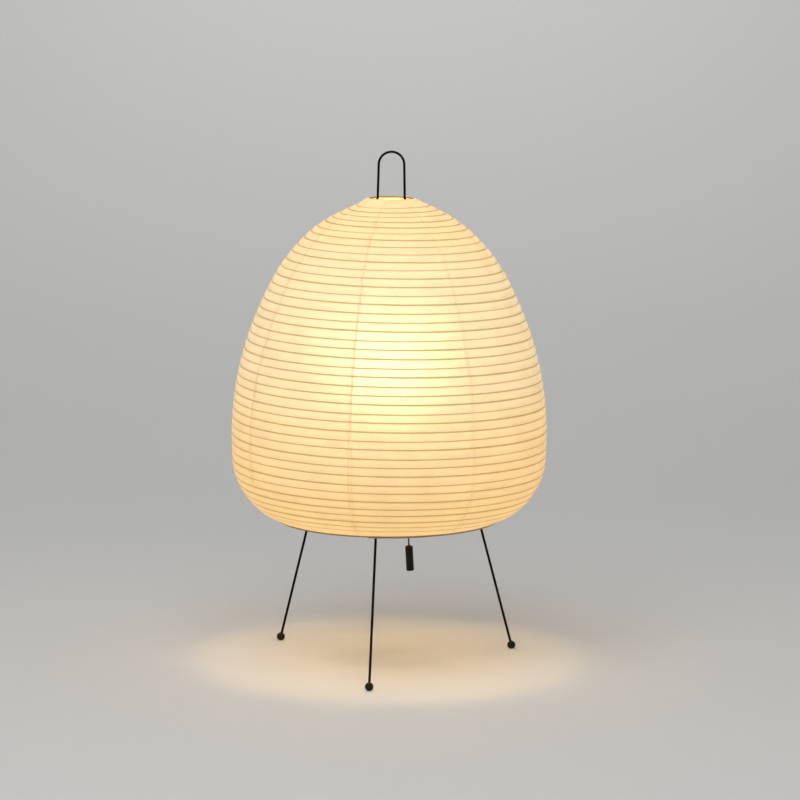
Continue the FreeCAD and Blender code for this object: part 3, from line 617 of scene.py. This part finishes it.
class LAMP_OT_stage(bpy.types.Operator):
    """Set up the camera, the floor with its backdrop, and soft light"""

    bl_idname = "lamp.stage"
    bl_label = "Stage"

    picture_width = 800.0

    def execute(self, context):
        stage = context.scene.lamp_stage
        self.camera(context, stage)
        self.sweep(stage)
        self.light(context)
        context.scene.view_settings.view_transform = "Standard"
        return {"FINISHED"}

    def camera(self, context, stage):
        """A long lens in front of the lamp; the picture scale and the distance set its focal length."""
        data = bpy.data.cameras.new("Camera")
        data.sensor_width = 36.0
        data.lens = data.sensor_width * stage.pixels_per_metre * stage.distance / self.picture_width
        data.shift_x = stage.off_centre
        data.clip_end = 50.0
        camera = placed("Camera", data)
        back, up = stage.distance * math.cos(stage.elevation), stage.distance * math.sin(stage.elevation)
        camera.matrix_world = (
            Matrix.Translation((0.0, -back, stage.aim + up))
            @ Matrix.Rotation(math.pi / 2 - stage.elevation, 4, "X")
            @ Matrix.Rotation(stage.roll, 4, "Z")
        )
        context.scene.camera = camera

    def sweep(self, stage):
        """Floor and backdrop in one sheet: level, a quarter circle, then upright, carried along X."""
        bend = np.linspace(0.0, math.pi / 2, 24)
        near, far, radius, tall, half_width = -6.0, 1.4, 1.2, 4.0, 5.0
        y = np.concatenate([[near], far + radius * np.sin(bend), [far + radius]])
        z = np.concatenate([[0.0], radius - radius * np.cos(bend), [tall]])
        x = np.linspace(-half_width, half_width, 12)
        grid = np.stack(np.broadcast_arrays(x[None, :], y[:, None], z[:, None]), axis=-1)
        faces = sheet_faces(*grid.shape[:2], False)[:, ::-1]
        finish = finish_material("Floor", stage.floor, 0.7, scale=40.0, spread=0.02, rough_spread=0.05)
        floor = placed("Floor", smooth_mesh("Floor", grid.reshape(-1, 3), faces, finish))

    def light(self, context):
        """An even grey sky, a soft lamp overhead and two that face the backdrop."""
        world = context.scene.world or bpy.data.worlds.new("World")
        context.scene.world = world
        world.use_nodes = True
        sky = world.node_tree.nodes["Background"]
        sky.inputs["Color"].default_value = (1.0, 1.0, 1.0, 1.0)
        sky.inputs["Strength"].default_value = 0.483
        for name, place, aim, size, power in (
            ("Key", (-0.22, -0.9, 1.7), (0.0, 0.0, 0.0), 1.4, 13.2),
            ("Backdrop", (0.0, 1.8, 1.5), (0.0, 2.6, 1.5), 1.2, 2.9),
            ("Backdrop far", (0.0, 1.2, 1.7), (0.0, 2.6, 1.3), 1.2, 5.0),
        ):
            data = bpy.data.lights.new(name, "AREA")
            data.energy = power
            data.size = size
            lamp = placed(name, data)
            lamp.location = place
            lamp.visible_camera = False
            lamp.rotation_euler = (Vector(aim) - lamp.location).to_track_quat("-Z", "Y").to_euler()


class LAMP_OT_pull(bpy.types.Operator):
    """Hang the pull cord with its handle and knot"""

    bl_idname = "lamp.pull"
    bl_label = "Pull"

    def execute(self, context):
        pull = context.scene.lamp_pull
        finish = context.scene.lamp_finish
        cord_finish = braid_material("Pull cord", finish.cord)
        handle = self.handle(pull, finish)
        knot = self.knot(pull, cord_finish)
        self.cord(pull, cord_finish, [handle, knot])
        dress(["pull_cord_upper"], cord_finish)
        return {"FINISHED"}

    def hung(self, points, pull):
        """Points drawn below the swing centre, leant to the right and hung from it."""
        x, y, z = points[..., 0], points[..., 1], points[..., 2]
        cosine, sine = math.cos(pull.lean), math.sin(pull.lean)
        return np.stack([x * cosine - z * sine, y, x * sine + z * cosine], axis=-1) + np.array(pull.swing)

    def cord(self, pull, material, pieces):
        """A straight hanging cord on a spline of order 3, from the bush down to the knot."""
        into_knot = 0.00015
        length = pull.drop + pull.handle_length - pull.knot_depth + into_knot
        count = 6
        down = np.zeros((count, 3))
        down[:, 2] = -length * np.linspace(0.0, 1.0, count)
        route = self.hung(down, pull)
        data = bpy.data.curves.new("Pull cord", "CURVE")
        data.dimensions = "3D"
        spline = data.splines.new("NURBS")
        spline.points.add(len(route) - 1)
        spline.points.foreach_set("co", np.concatenate([route, np.ones((len(route), 1))], axis=1).ravel())
        spline.order_u = 3
        spline.use_endpoint_u = True
        data.bevel_depth = pull.cord / 2
        data.bevel_resolution = 6
        data.use_fill_caps = True
        data.materials.append(material)
        cord = placed("pull_cord_braid", data)
        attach(cord, "pull")
        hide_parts("pull_cord")

    def handle(self, pull, finish):
        """A turned bar: a profile with a sloping shoulder and eased edges, bored for the cord."""
        top, bottom = -pull.drop, -pull.drop - pull.handle_length
        radius, bore, pocket, easing = pull.handle_radius, pull.cord / 2 + 0.0003, 0.0020, 0.0006
        ease = np.linspace(0.0, math.pi / 2, 6)
        foot_radius = radius - easing + easing * np.cos(ease)
        foot = np.stack([foot_radius, bottom + easing - easing * np.sin(ease)], axis=-1)
        profile = np.concatenate([
            [[bore, top - 0.0002], [bore + 0.0002, top], [0.0011, top], [0.0014, top - 0.00008]],
            [[radius - 0.0005, top - 0.0007], [radius - 0.00015, top - 0.0009], [radius, top - 0.0013]],
            [[radius, 0.5 * (top + bottom)]],
            foot,
            [[pocket + 0.0001, bottom], [pocket, bottom + 0.0001], [pocket, bottom + pull.knot_depth]],
            [[bore, bottom + pull.knot_depth]],
        ])
        vertices, faces = turned(profile, 56)
        material = finish_material(
            "Polished black", finish.pull, 0.3, scale=900.0, spread=0.5, specular=0.18)
        return piece(
            "pull_handle_turned", self.hung(vertices, pull), faces, material, "pull",
            ["pull_handle"])

    def knot(self, pull, material):
        """An overhand knot drawn tight: a (2, 3) torus knot with a round section carried along it."""
        bottom = -pull.drop - pull.handle_length
        angle = np.linspace(0.0, math.tau, 144, endpoint=False)
        wide, thick, strand, below_top = 0.00072, 0.00034, 0.42 * pull.cord, 0.0014
        tall = 1.7 * thick
        reach = wide + thick * np.cos(3.0 * angle)
        across = np.stack([reach * np.cos(2.0 * angle), reach * np.sin(2.0 * angle)], axis=-1)
        path = np.concatenate([across, tall * np.sin(3.0 * angle)[:, None]], axis=1)
        along = np.roll(path, -1, axis=0) - np.roll(path, 1, axis=0)
        along /= np.linalg.norm(along, axis=1, keepdims=True)
        out = path / np.linalg.norm(path, axis=1, keepdims=True)
        side = np.cross(along, out)
        side /= np.linalg.norm(side, axis=1, keepdims=True)
        out = np.cross(side, along)
        ring = np.linspace(0.0, math.tau, 12, endpoint=False)
        grid = swept(path, out, side, strand * np.stack([np.cos(ring), np.sin(ring)], axis=-1))
        grid[..., 2] += bottom + pull.knot_depth - below_top
        faces = sheet_faces(len(angle) + 1, len(ring), True) % (len(angle) * len(ring))
        vertices = self.hung(grid.reshape(-1, 3), pull)
        return piece("pull_knot_tied", vertices, faces, material, "pull", ["pull_knot"])


class LAMP_OT_gores(bpy.types.Operator):
    """Glue the paper gores on the rib"""

    bl_idname = "lamp.gores"
    bl_label = "Paper gores"

    rows_per_turn = 10
    columns = 28
    lap_columns = 3
    edge_rows = 3
    # Turns kept free of rows next to the edges, and room in turns for the lap's rise.
    edge_turns, lap_turns = 0.3, 0.06
    # Turns over which the bulge sets in at the rib's ends, and turns past them where the rib still shows.
    bulge_turns, rib_slack = 0.4, 0.01
    # Height of a lap over the next gore in thicknesses of paper, and the length over which it levels out.
    lap_rise, lap_ease = 1.3, 0.004
    # Near the mouths the rib's painted shadow and tint are drawn wider: down from the top, up from the
    # bottom, how much.
    top_hold, bottom_hold, hold = (0.075, 0.035), (0.060, 0.030), 0.28
    # Millimetres that stand for no rib, and how far apart the gores lie in the fibres' pattern.
    no_rib, pattern_step = 5.0, 0.37
    # A step along the normal, to find which way the paper faces.
    normal_step = 0.001
    # Depth of the light's middle below the top of the bulb, in radii of its globe.
    light_depth = 0.6
    # What the light is multiplied by, and the light at which the glow begins.
    light_gain, light_start = 0.0156, 0.3

    def execute(self, context):
        shade = context.scene.lamp_shade
        meridian = Meridian(shade)
        material = paper_material(context.scene.lamp_finish)
        bulb_low, bulb_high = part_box("bulb_glass")
        globe_radius = (bulb_high.x - bulb_low.x) / 2
        bulb = np.array([0.0, 0.0, bulb_high.z - self.light_depth * globe_radius])
        for i in range(shade.gores):
            self.gore(i, shade, meridian, material, bulb)
        return {"FINISHED"}

    def gore(self, i, shade, meridian, material, bulb):
        """One gore: rows follow the rib, s = rib(turn), and the paper bulges between turns by 4x(1 - x)."""
        width = math.tau / shade.gores
        first = shade.first_seam + width * i
        share = np.linspace(0.0, 1.0, self.columns)
        turn_of_seam = (first + math.pi) / math.tau
        rise_of_gore = 1.0 / shade.gores
        first_turn = -meridian.margin / meridian.pitch + self.edge_turns
        last_turn = (meridian.length - meridian.margin) / meridian.pitch - self.edge_turns
        low = math.ceil((first_turn - turn_of_seam) * self.rows_per_turn)
        high = math.floor((last_turn - turn_of_seam - rise_of_gore - self.lap_turns) * self.rows_per_turn)
        line = np.arange(low, high + 1) / self.rows_per_turn
        azimuth = first + width * share
        inner = line[:, None] + (azimuth[None, :] + math.pi) / math.tau
        down = meridian.rib_down(inner)
        down, line_grid = self.with_edges(down, line, meridian)
        azimuth = np.broadcast_to(azimuth, down.shape)
        down, azimuth, line_grid, double = self.with_lap(down, azimuth, line_grid, shade, meridian)
        between = line_grid - np.floor(line_grid)
        turn = line_grid + (azimuth + math.pi) / math.tau
        left = meridian.turns - turn
        wound = (turn > -self.rib_slack) & (left > -self.rib_slack)
        on_ribs = smooth_step(-self.bulge_turns, 0.0, turn) * smooth_step(-self.bulge_turns, 0.0, left)
        rise = on_ribs * (shade.bulge * 4.0 * between * (1.0 - between) - shade.sink)
        rise = rise + double * self.lap_rise * shade.paper
        outer = meridian.at(down, azimuth, rise)
        inside = meridian.at(down, azimuth, rise - shade.paper)
        vertices, faces = shell(outer, inside)
        millimetres = np.minimum(between, 1.0 - between) * meridian.pitch * 1000.0
        distance = np.where(wound, millimetres, self.no_rib)
        near_top = smooth_step(*self.top_hold, down)
        near_bottom = smooth_step(*self.bottom_hold, meridian.length - down)
        distance = distance * (1.0 - self.hold * np.maximum(near_top, near_bottom))
        across = (azimuth - first) * np.hypot(outer[..., 0], outer[..., 1])
        sheet = np.stack([across, down, np.full_like(down, self.pattern_step * i)], axis=-1)
        glow = self.light_on(outer, meridian.at(down, azimuth, rise + self.normal_step), bulb)
        attributes = {
            "sheet": np.concatenate([sheet.reshape(-1, 3)] * 2),
            "rib_distance": np.concatenate([distance.ravel()] * 2),
            "double": np.concatenate([double.ravel()] * 2),
            "glow": np.concatenate([glow.ravel()] * 2),
        }
        name = f"paper_gore_{i + 1}"
        made = piece(f"{name}_sheet", vertices, faces, material, "frame", [name], attributes)

    def with_edges(self, down, line, meridian):
        """Rows added from the top edge to the first rib row, and from the last one to the bottom edge."""
        share = np.linspace(0.0, 1.0, self.edge_rows, endpoint=False)[:, None]
        above = down[:1] * share
        below = meridian.length - (meridian.length - down[-1:]) * share[::-1]
        line_grid = np.broadcast_to(line[:, None], down.shape)
        first, last = math.floor(line[0]), math.ceil(line[-1])
        top_lines = np.broadcast_to(first + (line[0] - first) * share, above.shape)
        bottom_lines = np.broadcast_to(last - (last - line[-1]) * share[::-1], below.shape)
        return np.concatenate([above, down, below]), np.concatenate([top_lines, line_grid, bottom_lines])

    def with_lap(self, down, azimuth, line_grid, shade, meridian):
        """Columns added past the seam, over the edge of the next gore; they are double paper."""
        place = meridian.at(down[:, -1:], azimuth[:, -1:], np.zeros_like(down[:, -1:]))
        radius = np.hypot(place[..., 0], place[..., 1])
        steps = np.linspace(0.0, 1.0, self.lap_columns)[None, :]
        more = azimuth[:, -1:] + shade.seam_lap / radius * steps
        rise = (more - azimuth[:, -1:]) / math.tau * meridian.pitch
        edge = down[:, -1:]
        held = smooth_step(0.0, self.lap_ease, edge)
        held = held * smooth_step(0.0, self.lap_ease, meridian.length - edge)
        more_down = edge + rise * held
        double = np.concatenate([np.zeros_like(down), np.ones_like(more)], axis=1)
        lines = np.concatenate([line_grid, np.broadcast_to(line_grid[:, -1:], more.shape)], axis=1)
        down = np.concatenate([down, more_down], axis=1)
        azimuth = np.concatenate([azimuth, more], axis=1)
        return down, azimuth, lines, double

    def light_on(self, points, lifted, bulb):
        """Light on each point: cosine over distance squared, from a bulb that shines most sideways."""
        ray = points - bulb
        distance = np.linalg.norm(ray, axis=-1)
        normal = (lifted - points) / self.normal_step
        facing = np.clip(np.sum(ray * normal, axis=-1) / distance, 0.0, 1.0)
        sideways = np.hypot(ray[..., 0], ray[..., 1]) / distance
        light = facing * sideways ** 2 / distance ** 2
        return np.clip((light * self.light_gain - self.light_start) / (1.0 - self.light_start), 0.0, 1.0)


class LAMP_OT_rib(bpy.types.Operator):
    """Wind the bamboo rib and bend the hoops"""

    bl_idname = "lamp.rib"
    bl_label = "Rib and hoops"

    def execute(self, context):
        shade = context.scene.lamp_shade
        finish = context.scene.lamp_finish
        meridian = Meridian(shade)
        bamboo = strip_material("Split bamboo", finish.bamboo, 0.04, 0.6)
        self.rib(shade, meridian, bamboo)
        dark = strip_material("Dark strip", finish.hoop, 0.04, 0.45)
        self.hoop("bottom_hoop", shade, math.radians(-10.3), dark)
        self.hoop("top_hoop", shade, math.radians(150), bamboo)
        return {"FINISHED"}

    def rib(self, shade, meridian, material):
        """The strip's section carried along the spiral, a little under the paper."""
        turn = np.linspace(0.0, meridian.turns, meridian.turns * 120 + 1)
        azimuth = math.pi + math.tau * turn
        down = meridian.rib_down(turn)
        half = shade.rib_width / 2
        rise = -(shade.sink + shade.paper + half) * np.ones_like(turn)
        path = meridian.at(down, azimuth, rise)
        step = 0.001
        out = (meridian.at(down, azimuth, rise + step) - path) / step
        along = np.gradient(path, axis=0)
        along /= np.linalg.norm(along, axis=1, keepdims=True)
        side = np.cross(along, out)
        section = half * np.array([
            [0.9, -0.75], [0.9, 0.75], [0.2, 0.9], [-0.7, 0.55], [-0.95, 0.0], [-0.7, -0.55], [0.2, -0.9],
        ])
        vertices, faces = carried(path, out, side, section)
        length = np.concatenate([[0.0], np.cumsum(np.linalg.norm(np.diff(path, axis=0), axis=1))])
        strip = {"strip": strip_places(length, section)}
        piece("spiral_rib_strip", vertices, faces, material, "frame", ["spiral_rib"], strip)

    def hoop(self, node, shade, joint, material):
        """A strip bent to a ring: it climbs from its joint, hangs with the paper and laps its own end."""
        low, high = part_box(node)
        lap, lap_start, lap_inset, thick = 0.12, 0.1, 0.0006, 0.0024
        angle = np.linspace(0.0, math.tau + lap, 241)
        outer = (high.x - low.x) / 2
        middle = outer - thick / 2
        azimuth = joint + angle
        under = smooth_step(math.tau - lap_start, math.tau, angle)
        height = (low.z + high.z) / 2 + 0.0 * angle
        if node == "bottom_hoop":
            clear, climb, climb_end, lift_share = 0.0002, 0.0005, 1.2, 0.4
            raised = clear + climb * smooth_step(0.0, climb_end, angle) + lift_share * shade.lift
            height = height + raised - shade.tilt * (0.5 - 0.5 * np.sin(azimuth))
        radius = middle - lap_inset * under
        path = around(radius, azimuth, height)
        out = around(1.0, azimuth, 0.0)
        up = np.zeros_like(out)
        up[:, 2] = 1.0
        tall = high.z - low.z
        corner = np.linspace(0.0, math.pi / 2, 4)
        quarter = np.stack([np.cos(corner), np.sin(corner)], axis=-1)
        ease = 0.3 * min(tall, thick)
        box = np.array([thick / 2 - ease, tall / 2 - ease])
        signs = np.array([[1, 1], [-1, 1], [-1, -1], [1, -1]])
        bends = [quarter, quarter[:, ::-1] * [-1, 1], -quarter, quarter[:, ::-1] * [1, -1]]
        section = np.concatenate([box * sign + ease * bend for sign, bend in zip(signs, bends)])[::-1]
        vertices, faces = carried(path, out, up, section)
        strip = {"strip": strip_places(angle * middle, section)}
        piece(f"{node}_strip", vertices, faces, material, "frame", [node], strip)


class LAMP_OT_wires(bpy.types.Operator):
    """Paint the wire frame, its feet and its hub"""

    bl_idname = "lamp.wires"
    bl_label = "Wire frame"

    def execute(self, context):
        finish = context.scene.lamp_finish
        black = finish_material(
            "Black paint", finish.black, 0.45, scale=700.0, spread=0.6, rough_spread=0.2, bump=0.00003,
            specular=0.08)
        ball = finish_material(
            "Foot paint", finish.ball, 0.36, scale=600.0, spread=0.6, rough_spread=0.2, specular=0.12)
        steel = finish_material(
            "Plated steel", (0.55, 0.55, 0.53), 0.35, metallic=1.0, scale=1500.0, spread=0.3)
        dress(["leg_1", "leg_2", "leg_3", "stretcher_handle", "hub"], black)
        dress(["ball_feet"], ball)
        dress(["leg_screws", "nipple", "lock_nut", "holder_screws"], steel)
        return {"FINISHED"}


class LAMP_OT_holder(bpy.types.Operator):
    """Finish the switch, the lamp holder and the lit bulb"""

    bl_idname = "lamp.holder"
    bl_label = "Holder and bulb"

    def execute(self, context):
        finish = context.scene.lamp_finish
        plastic = finish_material(
            "Moulded plastic", finish.plastic, 0.5, scale=1200.0, spread=0.4, bump=0.00004)
        brass = finish_material("Brass", (0.72, 0.52, 0.20), 0.3, metallic=1.0, scale=900.0, spread=0.35)
        aluminium = finish_material(
            "Aluminium", (0.78, 0.78, 0.77), 0.32, metallic=1.0, scale=900.0, spread=0.2)
        ceramic = finish_material(
            "Ceramic", (0.82, 0.79, 0.73), 0.6, scale=500.0, spread=0.15, bump=0.00005)
        seal = finish_material("Black seal", (0.015, 0.015, 0.016), 0.15, scale=500.0, spread=0.4)
        dress(["inlet_bush", "switch_housing", "pull_bush", "holder_shell", "switch_traveller"], plastic)
        dress(["screw_shell", "centre_contact", "bulb_contact"], brass)
        dress(["bulb_cap"], aluminium)
        dress(["holder_insulator"], ceramic)
        dress(["bulb_insulator"], seal)
        dress(["bulb_glass"], bulb_material(finish))
        return {"FINISHED"}


class LAMP_PT_panel(bpy.types.Panel):
    """The lamp's operators and settings in the sidebar"""

    bl_label = "Paper lamp"
    bl_idname = "LAMP_PT_panel"
    bl_space_type = "VIEW_3D"
    bl_region_type = "UI"
    bl_category = "Lamp"

    def draw(self, context):
        for operator in OPERATORS:
            self.layout.operator(operator.bl_idname)
        for group in GROUPS:
            settings = getattr(context.scene, GROUPS[group])
            box = self.layout.box()
            for key in group.__annotations__:
                box.prop(settings, key)


GROUPS = {
    LampShade: "lamp_shade",
    LampFinish: "lamp_finish",
    LampPull: "lamp_pull",
    LampStage: "lamp_stage",
}
OPERATORS = (LAMP_OT_stage, LAMP_OT_pull, LAMP_OT_rib, LAMP_OT_gores, LAMP_OT_wires, LAMP_OT_holder)


def register():
    for group, name in GROUPS.items():
        bpy.utils.register_class(group)
        setattr(bpy.types.Scene, name, bpy.props.PointerProperty(type=group))
    for kind in (*OPERATORS, LAMP_PT_panel):
        bpy.utils.register_class(kind)


def unregister():
    for kind in (LAMP_PT_panel, *reversed(OPERATORS)):
        bpy.utils.unregister_class(kind)
    for group, name in GROUPS.items():
        delattr(bpy.types.Scene, name)
        bpy.utils.unregister_class(group)


def main():
    register()
    bpy.ops.lamp.stage()
    bpy.ops.lamp.pull()
    bpy.ops.lamp.rib()
    bpy.ops.lamp.gores()
    bpy.ops.lamp.wires()
    bpy.ops.lamp.holder()


if __name__ == "__main__":
    main()
